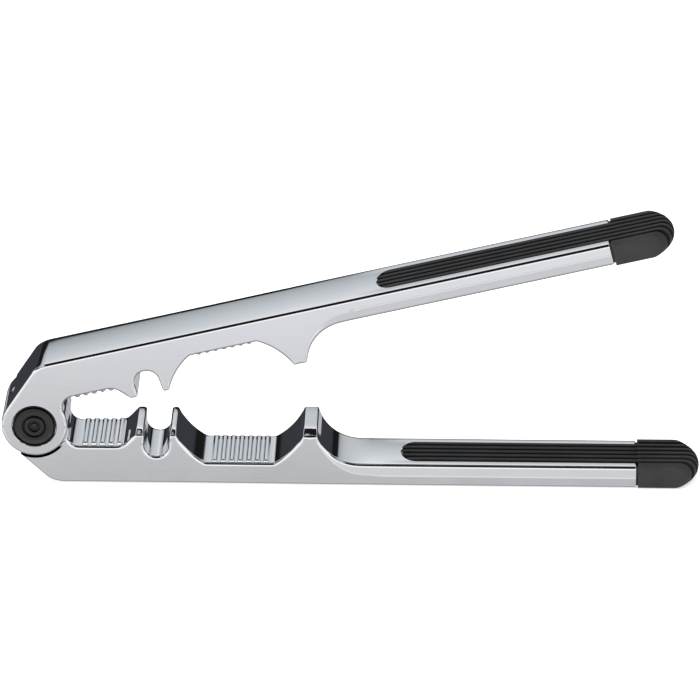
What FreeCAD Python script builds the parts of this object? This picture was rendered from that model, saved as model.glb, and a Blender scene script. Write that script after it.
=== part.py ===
import FreeCAD, Part
import math
import os
import Sketcher

# Lever nutcracker press.
#
# Two identical cast levers face each other across a closing plane and turn on
# one cross pin.  Each lever is drawn in its own lever frame: X runs from the
# pivot axis along the lever, Z runs from the closing plane to the lever's outer
# face, Y runs across its width.  The lower lever is that casting turned half a
# turn about X, so its outer face is down on the table; the upper one is the same
# casting swung open about the pivot.  The four hinge lugs, front to back, are
# upper, lower, upper, lower, which is why one casting can serve for both.
#
# Model frame: Z = 0 is the lower lever's outer face, X = 0 and Y = 0 are the
# middle of the lower lever's length and width, the pivot is at -X.

os.makedirs("parts", exist_ok=True)
V = FreeCAD.Vector
doc = FreeCAD.newDocument("nutcracker")

# ------------------------------------------------------------------ dimensions
sheet = doc.addObject("Spreadsheet::Sheet", "Dimensions")
sheet.Label = "Dimensions"
ROW = [0]


def cell(alias, value):
    ROW[0] += 1
    sheet.set("A%d" % ROW[0], alias)
    sheet.set("B%d" % ROW[0], repr(value))
    sheet.setAlias("B%d" % ROW[0], alias)


# whole tool
cell("lever_reach", 190.5)       # pivot axis to the tip of the grip
cell("boss_radius", 9.5)
cell("lever_width", 19.0)
cell("outer_face", 18.0)         # height of the outer face over the pivot axis
cell("open_angle", 13.7)         # upper lever, from parallel, as it lies at rest
# casting outline
cell("handle_inner", 11.25)      # inner face of the handle
cell("chrome_end", 172.4)        # where the bare casting ends and the grip starts
cell("end_corner", 1.0)
cell("rear_corner_x", 8.13)
cell("rear_corner_radius", 7.0)
cell("small_pocket_radius", 3.6)
cell("small_pocket_floor", 6.3)
cell("small_pocket_end_x", 23.0)
cell("small_pocket_end_radius", 5.0)
cell("tooth_a_front_x", 29.4)
cell("tooth_a_back_x", 30.5)
cell("tooth_a_radius", 0.8)
cell("notch_x", 34.8)
cell("notch_top", 9.4)
cell("notch_radius", 3.5)
cell("tooth_b_front_x", 39.4)
cell("tooth_b_back_x", 39.95)
cell("tooth_b_radius", 0.8)
cell("tip_gap", 2.0)             # tooth tips, measured from the pivot axis
cell("hollow_x", 58.6)
cell("hollow_z", -6.0)
cell("hollow_radius", 19.8)
cell("hollow_floor", 11.2)
cell("hollow_corner", 2.0)
cell("tooth_c_front_x", 77.45)
cell("tooth_c_back_x", 80.3)
cell("tooth_c_radius", 0.8)
cell("tooth_c_tip", 1.65)
cell("flank_x", 92.8)
cell("flank_radius", 12.0)
cell("edge_round", 0.75)
# crushing ribs
cell("rib_pitch", 2.46)
cell("rib_radius", 0.95)
cell("rib_sink", 0.25)           # how far a rib's centre lies inside the metal
cell("rib_length", 17.0)
cell("pocket_rib_x", 14.35)
cell("pocket_rib_pitch", 2.475)
cell("pocket_rib_sink", 0.02)
cell("hollow_rib_x", 51.4)
# hinge lugs
cell("lug_gap", 0.4)
cell("slot_radius", 10.0)
cell("slot_inner_width", 5.25)   # between the cheek and the middle lug
cell("slot_inner_mid", 2.425)    # middle of that slot, in front of the centre
cell("slot_outer_width", 6.0)
cell("slot_outer_mid", 7.65)     # behind the centre
cell("barrel_bore", 6.06)
cell("cap_recess_bore", 12.6)
cell("cap_recess_deep", 1.3)
cell("head_recess_bore", 10.2)
cell("head_recess_deep", 3.3)    # from the cheek's face to the head seat
# pivot hardware
cell("barrel_diameter", 6.0)
cell("barrel_length", 12.2)
cell("head_diameter", 10.0)
cell("head_thick", 1.4)
cell("screw_diameter", 4.0)
cell("screw_length", 11.0)
cell("thread_bore", 4.0)
cell("hex_drive", 2.5)
cell("hex_deep", 0.9)
cell("wave_thick", 0.5)
cell("wave_bore", 6.2)
cell("wave_outer", 9.8)
cell("shim_thick", 0.34)
cell("shim_bore", 6.2)
cell("shim_outer", 15.0)
cell("cap_diameter", 12.5)
cell("cap_thick", 1.25)
cell("cap_proud", 0.45)
# grip
cell("strip_start", 105.0)
cell("strip_width", 12.0)
cell("strip_deep", 1.0)
cell("strip_proud", 0.25)
cell("strip_nose", 4.0)
cell("strip_rib_pitch", 2.55)
cell("strip_groove", 0.95)
cell("tongue_end", 184.0)
cell("tongue_width", 12.0)
cell("tongue_low", 12.75)
cell("tongue_high", 16.5)
cell("bridge_diameter", 4.0)
cell("bridge_near", 122.0)
cell("bridge_far", 158.0)
cell("cap_start", 172.9)
cell("cap_inner", 10.9)
cell("cap_width", 18.8)
cell("cap_round", 3.2)
cell("cap_plan_radius", 12.6)
cell("shoulder_inset", 0.55)
cell("cap_edge", 0.7)
doc.recompute()


def dim(alias):
    return float(sheet.get(alias))


def S(text):
    """An expression over the sheet: each word in it is an alias."""
    out, word = "", ""
    for ch in text + " ":
        if ch.isalpha() or ch == "_" or (word and ch.isdigit()):
            word += ch
            continue
        if word:
            out += "Dimensions." + word
            word = ""
        out += ch
    return out.strip()


# ------------------------------------------------------------------ helpers
ALL = []


def new_body(label):
    body = doc.addObject("PartDesign::Body", label)
    body.Label = label
    ALL.append(body)
    return body


def plane(body, role):
    for o in body.Origin.OriginFeatures:
        if o.Role == role:
            return o
    raise RuntimeError(role)


def sketch_on(body, name, role="XZ_Plane", offset=None):
    sk = body.newObject("Sketcher::SketchObject", name)
    sk.AttachmentSupport = (plane(body, role), [""])
    sk.MapMode = "FlatFace"
    if offset is not None:
        sk.setExpression("AttachmentOffset.Base.z", S(offset))
    return sk


def bind(sk, index, expression):
    sk.setExpression("Constraints[%d]" % index, S(expression))


def rect(sk, x0, z0, x1, z1):
    """Rectangle whose four sides follow expressions over the sheet."""
    n = sk.GeometryCount
    pts = [V(0, 0, 0), V(10, 0, 0), V(10, 10, 0), V(0, 10, 0)]
    for i in range(4):
        sk.addGeometry(Part.LineSegment(pts[i], pts[(i + 1) % 4]), False)
    for i in range(4):
        sk.addConstraint(Sketcher.Constraint("Coincident", n + i, 2, n + (i + 1) % 4, 1))
    sk.addConstraint(Sketcher.Constraint("Horizontal", n))
    sk.addConstraint(Sketcher.Constraint("Vertical", n + 1))
    sk.addConstraint(Sketcher.Constraint("Horizontal", n + 2))
    sk.addConstraint(Sketcher.Constraint("Vertical", n + 3))
    for kind, vert, expr in (
        ("DistanceX", (n, 1), x0),
        ("DistanceY", (n, 1), z0),
        ("DistanceX", (n + 1, 2), x1),
        ("DistanceY", (n + 1, 2), z1),
    ):
        k = sk.addConstraint(
            Sketcher.Constraint(kind, -1, 1, vert[0], vert[1], 1.0 if "0" in expr else 5.0)
        )
        bind(sk, k, expr)


def circle(sk, x, z, r):
    """Circle with centre and radius from expressions over the sheet."""
    n = sk.addGeometry(Part.Circle(V(1.0, 1.0, 0), V(0, 0, 1), 1.5), False)
    for kind, expr in (("DistanceX", x), ("DistanceY", z)):
        if expr == "0":
            continue
        k = sk.addConstraint(Sketcher.Constraint(kind, -1, 1, n, 3, 1.0))
        bind(sk, k, expr)
    if x == "0" and z == "0":
        sk.addConstraint(Sketcher.Constraint("Coincident", n, 3, -1, 1))
    elif x == "0":
        sk.addConstraint(Sketcher.Constraint("PointOnObject", n, 3, -2))
    elif z == "0":
        sk.addConstraint(Sketcher.Constraint("PointOnObject", n, 3, -1))
    k = sk.addConstraint(Sketcher.Constraint("Radius", n, 1.5))
    bind(sk, k, r)
    return n


def pad(body, sk, length, name, symmetric=True):
    f = body.newObject("PartDesign::Pad", name)
    f.Profile = sk
    f.SideType = "Symmetric" if symmetric else "One side"
    f.setExpression("Length", S(length))
    return f


def pocket(body, sk, length, name, symmetric=True, through=False, reverse=False):
    before = body.Tip.Shape.Volume
    f = body.newObject("PartDesign::Pocket", name)
    f.Profile = sk
    f.SideType = "Symmetric" if symmetric else "One side"
    if through:
        f.Type = "ThroughAll"
    else:
        f.setExpression("Length", S(length))
    f.Reversed = reverse
    doc.recompute()
    if not f.Shape.Volume < before - 0.01:
        raise RuntimeError("%s of %s cuts nothing" % (name, body.Label))
    return f


def belt(arcs):
    """Tangent outline round a chain of circles.

    arcs: (x, z, radius, turn), turn +1 to the left and -1 to the right.
    Gives for each circle its start and end point; the straight run to the next
    circle is the common tangent, and has no length where two circles touch."""
    n = len(arcs)
    leave, reach = [None] * n, [None] * n
    for i in range(n):
        x0, z0, r0, s0 = arcs[i]
        x1, z1, r1, s1 = arcs[(i + 1) % n]
        dx, dz = x1 - x0, z1 - z0
        far = math.hypot(dx, dz)
        k = (s1 * r1 - s0 * r0) / far
        if abs(k) > 1.0 + 1e-9:
            raise RuntimeError("circles %d and %d of the outline overlap" % (i, (i + 1) % n))
        k = max(-1.0, min(1.0, k))
        a = math.atan2(dz, dx) + math.acos(k)
        nx, nz = math.cos(a), math.sin(a)
        leave[i] = (x0 - s0 * r0 * nx, z0 - s0 * r0 * nz)
        reach[(i + 1) % n] = (x1 - s1 * r1 * nx, z1 - s1 * r1 * nz)
    return reach, leave


def belt_sketch(sk, arcs, drive):
    """Draws the belt outline.  drive gives expressions for the circles' centres
    and radii as (index, kind, expression)."""
    reach, leave = belt(arcs)
    geo, con = [], []
    for (x, z, r, s), a, b in zip(arcs, reach, leave):
        a0 = math.atan2(a[1] - z, a[0] - x)
        a1 = math.atan2(b[1] - z, b[0] - x)
        if s < 0:
            a0, a1 = a1, a0
        while a1 < a0 + 1e-9:
            a1 += 2 * math.pi
        geo.append(Part.ArcOfCircle(Part.Circle(V(x, z, 0), V(0, 0, 1), r), a0, a1))
    n = len(arcs)
    for i in range(n):
        j = (i + 1) % n
        end_i = 2 if arcs[i][3] > 0 else 1
        start_j = 1 if arcs[j][3] > 0 else 2
        p, q = leave[i], reach[j]
        if math.hypot(p[0] - q[0], p[1] - q[1]) < 1e-4:
            con.append(Sketcher.Constraint("Coincident", i, end_i, j, start_j))
            continue
        g = len(geo)
        geo.append(Part.LineSegment(V(p[0], p[1], 0), V(q[0], q[1], 0)))
        con.append(Sketcher.Constraint("Coincident", i, end_i, g, 1))
        con.append(Sketcher.Constraint("Coincident", g, 2, j, start_j))
    named = []
    for i, kind, expr in drive:
        x, z, r, s = arcs[i]
        if kind == "origin":
            con.append(Sketcher.Constraint("Coincident", i, 3, -1, 1))
            continue
        named.append((len(con), expr))
        if kind == "r":
            con.append(Sketcher.Constraint("Radius", i, r))
        elif kind == "x":
            con.append(Sketcher.Constraint("DistanceX", -1, 1, i, 3, x))
        elif kind == "z":
            con.append(Sketcher.Constraint("DistanceY", -1, 1, i, 3, z))
    sk.addGeometry(geo, False)
    sk.addConstraint(con)
    for k, expr in named:
        bind(sk, k, expr)


def solid_check(obj):
    if "Invalid" in obj.State or "Error" in obj.State:
        raise RuntimeError("%s: %s" % (obj.Label, obj.State))


PIVOT = V(-0.5 * (dim("lever_reach") - dim("boss_radius")), 0.0, dim("outer_face"))
PIVOT_X = "-(lever_reach - boss_radius) / 2"


def place_lower(obj):
    obj.Placement = FreeCAD.Placement(PIVOT, FreeCAD.Rotation(V(1, 0, 0), 180))
    obj.setExpression("Placement.Base.x", S(PIVOT_X))
    obj.setExpression("Placement.Base.z", S("outer_face"))


def place_upper(obj):
    obj.Placement = FreeCAD.Placement(PIVOT, FreeCAD.Rotation(V(0, -1, 0), dim("open_angle")))
    obj.setExpression("Placement.Base.x", S(PIVOT_X))
    obj.setExpression("Placement.Base.z", S("outer_face"))
    obj.setExpression("Placement.Rotation.Angle", S("open_angle"))


# ------------------------------------------------------------------ casting
def outline():
    d = dim
    pr, pf = d("small_pocket_radius"), d("small_pocket_floor")
    pz = pf - pr
    px = math.sqrt((d("boss_radius") + pr) ** 2 - pz ** 2)      # touches the boss circle
    hr, hc = d("hollow_radius"), d("hollow_corner")
    cz = d("hollow_floor") - hc
    cx = math.sqrt((hr - hc) ** 2 - (cz - d("hollow_z")) ** 2)  # lies inside the hollow circle
    ec = d("end_corner")
    arcs = [
        (d("rear_corner_x"), d("outer_face") - d("rear_corner_radius"), d("rear_corner_radius"), 1),
        (0.0, 0.0, d("boss_radius"), 1),
        (px, pz, pr, -1),
        (d("small_pocket_end_x"), pf - d("small_pocket_end_radius"), d("small_pocket_end_radius"), -1),
        (d("tooth_a_front_x"), d("tip_gap") + d("tooth_a_radius"), d("tooth_a_radius"), 1),
        (d("tooth_a_back_x"), d("tip_gap") + d("tooth_a_radius"), d("tooth_a_radius"), 1),
        (d("notch_x"), d("notch_top") - d("notch_radius"), d("notch_radius"), -1),
        (d("tooth_b_front_x"), d("tip_gap") + d("tooth_b_radius"), d("tooth_b_radius"), 1),
        (d("tooth_b_back_x"), d("tip_gap") + d("tooth_b_radius"), d("tooth_b_radius"), 1),
        (d("hollow_x"), d("hollow_z"), hr, -1),
        (d("hollow_x") - cx, cz, hc, -1),
        (d("hollow_x") + cx, cz, hc, -1),
        (d("hollow_x"), d("hollow_z"), hr, -1),
        (d("tooth_c_front_x"), d("tooth_c_tip") + d("tooth_c_radius"), d("tooth_c_radius"), 1),
        (d("tooth_c_back_x"), d("tooth_c_tip") + d("tooth_c_radius"), d("tooth_c_radius"), 1),
        (d("flank_x"), d("handle_inner") - d("flank_radius"), d("flank_radius"), -1),
        (d("chrome_end") - ec, d("handle_inner") + ec, ec, 1),
        (d("chrome_end") - ec, d("outer_face") - ec, ec, 1),
    ]
    drive = [
        (0, "x", "rear_corner_x"), (0, "z", "outer_face - rear_corner_radius"), (0, "r", "rear_corner_radius"),
        (1, "origin", ""), (1, "r", "boss_radius"),
        (2, "z", "small_pocket_floor - small_pocket_radius"), (2, "r", "small_pocket_radius"),
        (3, "x", "small_pocket_end_x"), (3, "z", "small_pocket_floor - small_pocket_end_radius"),
        (3, "r", "small_pocket_end_radius"),
        (4, "x", "tooth_a_front_x"), (4, "z", "tip_gap + tooth_a_radius"), (4, "r", "tooth_a_radius"),
        (5, "x", "tooth_a_back_x"), (5, "z", "tip_gap + tooth_a_radius"), (5, "r", "tooth_a_radius"),
        (6, "x", "notch_x"), (6, "z", "notch_top - notch_radius"), (6, "r", "notch_radius"),
        (7, "x", "tooth_b_front_x"), (7, "z", "tip_gap + tooth_b_radius"), (7, "r", "tooth_b_radius"),
        (8, "x", "tooth_b_back_x"), (8, "z", "tip_gap + tooth_b_radius"), (8, "r", "tooth_b_radius"),
        (9, "x", "hollow_x"), (9, "z", "hollow_z"), (9, "r", "hollow_radius"),
        (10, "z", "hollow_floor - hollow_corner"), (10, "r", "hollow_corner"),
        (11, "z", "hollow_floor - hollow_corner"), (11, "r", "hollow_corner"),
        (12, "x", "hollow_x"), (12, "z", "hollow_z"), (12, "r", "hollow_radius"),
        (13, "x", "tooth_c_front_x"), (13, "z", "tooth_c_tip + tooth_c_radius"), (13, "r", "tooth_c_radius"),
        (14, "x", "tooth_c_back_x"), (14, "z", "tooth_c_tip + tooth_c_radius"), (14, "r", "tooth_c_radius"),
        (15, "x", "flank_x"), (15, "z", "handle_inner - flank_radius"), (15, "r", "flank_radius"),
        (16, "x", "chrome_end - end_corner"), (16, "z", "handle_inner + end_corner"), (16, "r", "end_corner"),
        (17, "x", "chrome_end - end_corner"), (17, "z", "outer_face - end_corner"), (17, "r", "end_corner"),
    ]
    return arcs, drive


def strip_outline(sk, grow="0"):
    """Strip seat seen from above: a rectangle with a half-oval nose towards the
    pivot, made of two arcs that meet on the middle line."""
    half = dim("strip_width") / 2
    nose = dim("strip_nose")
    x0 = dim("strip_start")
    x1 = dim("chrome_end") + 0.5
    # arc through the nose tip, tangent to the side: radius (nose^2 + half^2) / (2 half)
    r = (nose * nose + half * half) / (2 * half)
    a = math.atan2(nose, r - half) if r > half else math.pi / 2
    top = Part.Arc(V(x0 + nose, half, 0),
                   V(x0 + nose - r * math.sin(a / 2), half - r + r * math.cos(a / 2), 0), V(x0, 0, 0))
    low = Part.Arc(V(x0, 0, 0),
                   V(x0 + nose - r * math.sin(a / 2), -(half - r + r * math.cos(a / 2)), 0),
                   V(x0 + nose, -half, 0))
    g0 = sk.addGeometry(Part.LineSegment(V(x1, half, 0), V(x0 + nose, half, 0)), False)
    g1 = sk.addGeometry(top, False)
    g2 = sk.addGeometry(low, False)
    g3 = sk.addGeometry(Part.LineSegment(V(x0 + nose, -half, 0), V(x1, -half, 0)), False)
    g4 = sk.addGeometry(Part.LineSegment(V(x1, -half, 0), V(x1, half, 0)), False)
    sk.addConstraint(Sketcher.Constraint("Horizontal", g0))
    sk.addConstraint(Sketcher.Constraint("Horizontal", g3))
    sk.addConstraint(Sketcher.Constraint("Vertical", g4))
    sk.addConstraint(Sketcher.Constraint("Coincident", g4, 2, g0, 1))
    sk.addConstraint(Sketcher.Constraint("Coincident", g3, 2, g4, 1))
    k = sk.addConstraint(Sketcher.Constraint("DistanceY", -1, 1, g0, 1, half))
    bind(sk, k, "strip_width / 2")
    k = sk.addConstraint(Sketcher.Constraint("DistanceY", g3, 2, -1, 1, half))
    bind(sk, k, "strip_width / 2")
    k = sk.addConstraint(Sketcher.Constraint("DistanceX", -1, 1, g0, 1, x1))
    bind(sk, k, "chrome_end + 0.5")
    return sk


def long_edges(shape):
    """Edges of the two side outlines of the casting (constant Y)."""
    out = []
    half = dim("lever_width") / 2
    for i, e in enumerate(shape.Edges):
        b = e.BoundBox
        if b.YLength < 1e-4 and abs(abs(b.YMin) - half) < 1e-4:
            out.append("Edge%d" % (i + 1))
    return out


def build_lever(label):
    body = new_body(label)
    sk = sketch_on(body, label + "_outline")
    arcs, drive = outline()
    belt_sketch(sk, arcs, drive)
    pad(body, sk, "lever_width", label + "_blank")
    doc.recompute()
    # rounded long edges on both sides of the casting
    fil = body.newObject("PartDesign::Fillet", label + "_edges")
    base = [f for f in body.Group if f.Name.endswith("_blank")][0]
    fil.Base = (base, long_edges(base.Shape))
    fil.setExpression("Radius", S("edge_round"))
    body.Tip = fil
    doc.recompute()
    # slot for the other lever's inner lug, and relief for its outer lug
    sk = sketch_on(body, label + "_slot_a", offset="slot_inner_mid")
    circle(sk, "0", "0", "slot_radius")
    pocket(body, sk, "slot_inner_width", label + "_inner_slot")
    sk = sketch_on(body, label + "_slot_b", offset="-slot_outer_mid")
    circle(sk, "0", "0", "slot_radius")
    pocket(body, sk, "slot_outer_width", label + "_outer_slot")
    # pivot bore through both lugs
    sk = sketch_on(body, label + "_bore")
    circle(sk, "0", "0", "barrel_bore / 2")
    pocket(body, sk, "lever_width + 2", label + "_pivot_bore")
    # recess in the cheek for the head, and a wider shallow one for the cap
    sk = sketch_on(body, label + "_head", offset="lever_width / 2")
    circle(sk, "0", "0", "head_recess_bore / 2")
    pocket(body, sk, "2 * head_recess_deep", label + "_head_recess")
    sk = sketch_on(body, label + "_cap", offset="lever_width / 2")
    circle(sk, "0", "0", "cap_recess_bore / 2")
    pocket(body, sk, "2 * cap_recess_deep", label + "_cap_recess")
    # channels for the grip strips in the outer and the inner face
    sk = sketch_on(body, label + "_strip_out", "XY_Plane", "outer_face")
    strip_outline(sk)
    pocket(body, sk, "2 * strip_deep", label + "_outer_channel")
    sk = sketch_on(body, label + "_strip_in", "XY_Plane", "handle_inner")
    strip_outline(sk)
    pocket(body, sk, "2 * strip_deep", label + "_inner_channel")
    # tongue that the grip is moulded on
    sk = sketch_on(body, label + "_tongue_side")
    rect(sk, "chrome_end - 3", "tongue_low", "tongue_end", "tongue_high")
    pad(body, sk, "tongue_width", label + "_tongue")
    doc.recompute()
    # two holes where the grip material bridges from one strip to the other
    sk = sketch_on(body, label + "_bridges", "XY_Plane", "outer_face")
    circle(sk, "bridge_near", "0", "bridge_diameter / 2")
    circle(sk, "bridge_far", "0", "bridge_diameter / 2")
    pocket(body, sk, "3 * outer_face", label + "_bridge_holes")
    # crushing ribs on the small pocket's floor and on the hollow's floor
    for name, x, floor, sink, pitch, count in (
        ("pocket", "pocket_rib_x", "small_pocket_floor", "pocket_rib_sink", "pocket_rib_pitch", 5),
        ("hollow", "hollow_rib_x", "hollow_floor", "rib_sink", "rib_pitch", 7),
    ):
        sk = sketch_on(body, "%s_%s_rib_end" % (label, name))
        circle(sk, x, floor + " + " + sink, "rib_radius")
        f = pad(body, sk, "rib_length", "%s_%s_rib" % (label, name))
        doc.recompute()
        pat = body.newObject("PartDesign::LinearPattern", "%s_%s_ribs" % (label, name))
        pat.Originals = [f]
        pat.Direction = (sk, ["H_Axis"])
        pat.Mode = "Spacing" if "Spacing" in pat.getEnumerationsOfProperty("Mode") else pat.Mode
        pat.setExpression("Length", S("%s * %d" % (pitch, count - 1)))
        pat.Mode = "Extent" if "Extent" in pat.getEnumerationsOfProperty("Mode") else pat.Mode
        pat.Occurrences = count
        before = f.Shape.Volume
        body.Tip = pat
        doc.recompute()
        if not pat.Shape.Volume > before + 1:
            raise RuntimeError("ribs of %s add nothing" % label)
    return body


# ------------------------------------------------------------------ grip
def build_grip(label):
    """One soft moulding: end cap over the tongue, a strip in each channel and
    two bridges through the handle."""
    body = new_body(label)
    # cap block
    sk = sketch_on(body, label + "_side")
    rect(sk, "cap_start", "cap_inner", "lever_reach", "outer_face")
    pad(body, sk, "cap_width", label + "_block")
    doc.recompute()
    # rounded end seen from the side
    block = body.Tip
    names = []
    for i, e in enumerate(block.Shape.Edges):
        b = e.BoundBox
        if b.XLength < 1e-4 and abs(b.XMin - dim("lever_reach")) < 1e-4 and b.YLength > 5:
            names.append("Edge%d" % (i + 1))
    fil = body.newObject("PartDesign::Fillet", label + "_end_round")
    fil.Base = (block, names)
    fil.setExpression("Radius", S("cap_round"))
    body.Tip = fil
    doc.recompute()
    # rounded end seen from above: what lies outside a large arc is cut away
    half = dim("cap_width") / 2
    R = dim("cap_plan_radius")
    xe = dim("lever_reach")
    sag = R - math.sqrt(R * R - half * half)
    sk = sketch_on(body, label + "_plan", "XY_Plane", "outer_face")
    arc = sk.addGeometry(Part.Arc(V(xe - sag, half, 0), V(xe, 0, 0), V(xe - sag, -half, 0)), False)
    pts = [V(xe - sag, -half, 0), V(xe - sag, -half - 2, 0), V(xe + 2, -half - 2, 0),
           V(xe + 2, half + 2, 0), V(xe - sag, half + 2, 0), V(xe - sag, half, 0)]
    for a, b in zip(pts, pts[1:]):
        sk.addGeometry(Part.LineSegment(a, b), False)
    k = sk.addConstraint(Sketcher.Constraint("Radius", arc, R))
    bind(sk, k, "cap_plan_radius")
    pocket(body, sk, "3 * outer_face", label + "_plan_round")
    # softened long edges
    names = []
    for i, e in enumerate(body.Tip.Shape.Edges):
        b = e.BoundBox
        if b.XLength > 5 and b.YLength < 1e-4 and b.ZLength < 1e-4 and abs(abs(b.YMin) - half) < 1e-3:
            names.append("Edge%d" % (i + 1))
    tip = body.Tip
    fil = body.newObject("PartDesign::Fillet", label + "_side_round")
    fil.Base = (tip, names)
    fil.setExpression("Radius", S("cap_edge"))
    body.Tip = fil
    doc.recompute()
    # shoulder between the casting's end and the cap
    sk = sketch_on(body, label + "_shoulder_side")
    rect(sk, "chrome_end", "handle_inner + shoulder_inset", "cap_start + 1", "outer_face - shoulder_inset")
    pad(body, sk, "cap_width - 2 * shoulder_inset", label + "_shoulder")
    doc.recompute()
    # strips
    for face, side, rise in (("outer", "outer_face", "0"), ("inner", "handle_inner", "strip_proud")):
        if face == "outer":
            sk = sketch_on(body, label + "_strip_out", "XY_Plane", "outer_face - strip_deep")
            strip_outline(sk)
            pad(body, sk, "strip_deep", label + "_outer_strip", symmetric=False)
        else:
            sk = sketch_on(body, label + "_strip_in", "XY_Plane", "handle_inner - strip_proud")
            strip_outline(sk)
            pad(body, sk, "strip_deep + strip_proud", label + "_inner_strip", symmetric=False)
        doc.recompute()
    # bridges between the strips
    sk = sketch_on(body, label + "_bridge_plan", "XY_Plane", "handle_inner")
    circle(sk, "bridge_near", "0", "bridge_diameter / 2")
    circle(sk, "bridge_far", "0", "bridge_diameter / 2")
    pad(body, sk, "outer_face - handle_inner", label + "_bridges", symmetric=False)
    doc.recompute()
    # socket over the tongue
    sk = sketch_on(body, label + "_socket_side")
    rect(sk, "chrome_end - 3", "tongue_low", "tongue_end", "tongue_high")
    pocket(body, sk, "tongue_width", label + "_socket")
    # lengthwise grooves between the ribs, in both faces, out to the rounded end
    for face, where in (("outer", "outer_face"), ("inner", "handle_inner - strip_proud")):
        sk = sketch_on(body, "%s_%s_groove_end" % (label, face), "YZ_Plane", "strip_start - 1")
        n = sk.GeometryCount
        base = tuple(dim(k) for k in ("strip_rib_pitch", "strip_groove"))
        for k in range(6):
            y = (k - 2.5) * base[0]
            z = dim("outer_face") if face == "outer" else dim("handle_inner") - dim("strip_proud")
            ci = sk.addGeometry(Part.Circle(V(y, z, 0), V(0, 0, 1), base[1] / 2), False)
            c = sk.addConstraint(Sketcher.Constraint("Radius", ci, base[1] / 2))
            bind(sk, c, "strip_groove / 2")
            c = sk.addConstraint(Sketcher.Constraint("DistanceY", -1, 1, ci, 3, z))
            bind(sk, c, where)
            if y > 0:
                c = sk.addConstraint(Sketcher.Constraint("DistanceX", -1, 1, ci, 3, y))
            else:
                c = sk.addConstraint(Sketcher.Constraint("DistanceX", ci, 3, -1, 1, -y))
            bind(sk, c, "strip_rib_pitch * %.1f" % abs(k - 2.5))
        pocket(body, sk, "lever_reach", "%s_%s_grooves" % (label, face), symmetric=True)
    return body


# ------------------------------------------------------------------ hinge parts
def turned(label, points, extra=None):
    """A turned piece: half section in the XY plane, X is the radius, Y the axis."""
    body = new_body(label)
    sk = sketch_on(body, label + "_section", "XY_Plane")
    vals = [(dim_of(a), dim_of(b)) for a, b in points]
    n = len(points)
    ids = []
    for i in range(n):
        p, q = vals[i], vals[(i + 1) % n]
        ids.append(sk.addGeometry(Part.LineSegment(V(p[0], p[1], 0), V(q[0], q[1], 0)), False))
    for i in range(n):
        sk.addConstraint(Sketcher.Constraint("Coincident", ids[i], 2, ids[(i + 1) % n], 1))
    for i, (a, b) in enumerate(points):
        x, y = vals[i]
        if abs(x) < 1e-9:
            sk.addConstraint(Sketcher.Constraint("PointOnObject", ids[i], 1, -2))
        else:
            bind(sk, sk.addConstraint(Sketcher.Constraint("DistanceX", -1, 1, ids[i], 1, x)), a)
        if abs(y) < 1e-9:
            sk.addConstraint(Sketcher.Constraint("PointOnObject", ids[i], 1, -1))
        elif y > 0:
            bind(sk, sk.addConstraint(Sketcher.Constraint("DistanceY", -1, 1, ids[i], 1, y)), b)
        else:
            bind(sk, sk.addConstraint(Sketcher.Constraint("DistanceY", ids[i], 1, -1, 1, -y)), "-(%s)" % b)
    rev = body.newObject("PartDesign::Revolution", label + "_turned")
    rev.Profile = sk
    rev.ReferenceAxis = (sk, ["V_Axis"])
    rev.Angle = 360
    body.Tip = rev
    doc.recompute()
    return body


def dim_of(expression):
    """Value of an expression over the sheet."""
    names = {}
    word = ""
    for ch in expression + " ":
        if ch.isalpha() or ch == "_":
            word += ch
        elif word:
            names[word] = dim(word)
            word = ""
    total, sign, token = 0.0, 1.0, ""
    # sums and differences of products and quotients, read left to right
    text = expression.replace("-", "+-").replace("(", "").replace(")", "")
    for term in text.split("+"):
        term = term.strip()
        if not term:
            continue
        sign = 1.0
        if term.startswith("-"):
            sign, term = -1.0, term[1:].strip()
        value = 1.0
        op = "*"
        for piece in term.replace("*", " * ").replace("/", " / ").split():
            if piece in "*/":
                op = piece
                continue
            number = names[piece] if piece in names else float(piece)
            value = value * number if op == "*" else value / number
        total += sign * value
    return total


def place_axis(obj, y_expression, back=False):
    """On the pivot axis; back pieces are turned half a turn to face backwards."""
    rot = FreeCAD.Rotation(V(0, 0, 1), 180 if back else 0)
    obj.Placement = FreeCAD.Placement(V(PIVOT.x, dim_of(y_expression), PIVOT.z), rot)
    obj.setExpression("Placement.Base.x", S(PIVOT_X))
    obj.setExpression("Placement.Base.y", S(y_expression))
    obj.setExpression("Placement.Base.z", S("outer_face"))


def hex_socket(body, y_face, deep_positive):
    """Hexagonal drive in a head's outer face, cut along the axis."""
    sk = sketch_on(body, body.Label + "_drive", "XZ_Plane", y_face)
    r = dim("hex_drive") / math.sqrt(3.0)
    ids = []
    for i in range(6):
        a0, a1 = math.radians(60 * i), math.radians(60 * i + 60)
        ids.append(sk.addGeometry(Part.LineSegment(V(r * math.cos(a0), r * math.sin(a0), 0),
                                                   V(r * math.cos(a1), r * math.sin(a1), 0)), False))
    for i in range(6):
        sk.addConstraint(Sketcher.Constraint("Coincident", ids[i], 2, ids[(i + 1) % 6], 1))
        if i:
            sk.addConstraint(Sketcher.Constraint("Equal", ids[0], ids[i]))
    sk.addConstraint(Sketcher.Constraint("PointOnObject", ids[0], 1, -1))
    k = sk.addConstraint(Sketcher.Constraint("Distance", ids[0], r))
    bind(sk, k, "hex_drive / 1.7320508")
    pocket(body, sk, "2 * hex_deep", body.Label + "_hex")


upper_lever = build_lever("upper_lever")
lower_lever = build_lever("lower_lever")
upper_grip = build_grip("upper_grip")
lower_grip = build_grip("lower_grip")
place_upper(upper_lever)
place_upper(upper_grip)
place_lower(lower_lever)
place_lower(lower_grip)

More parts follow.
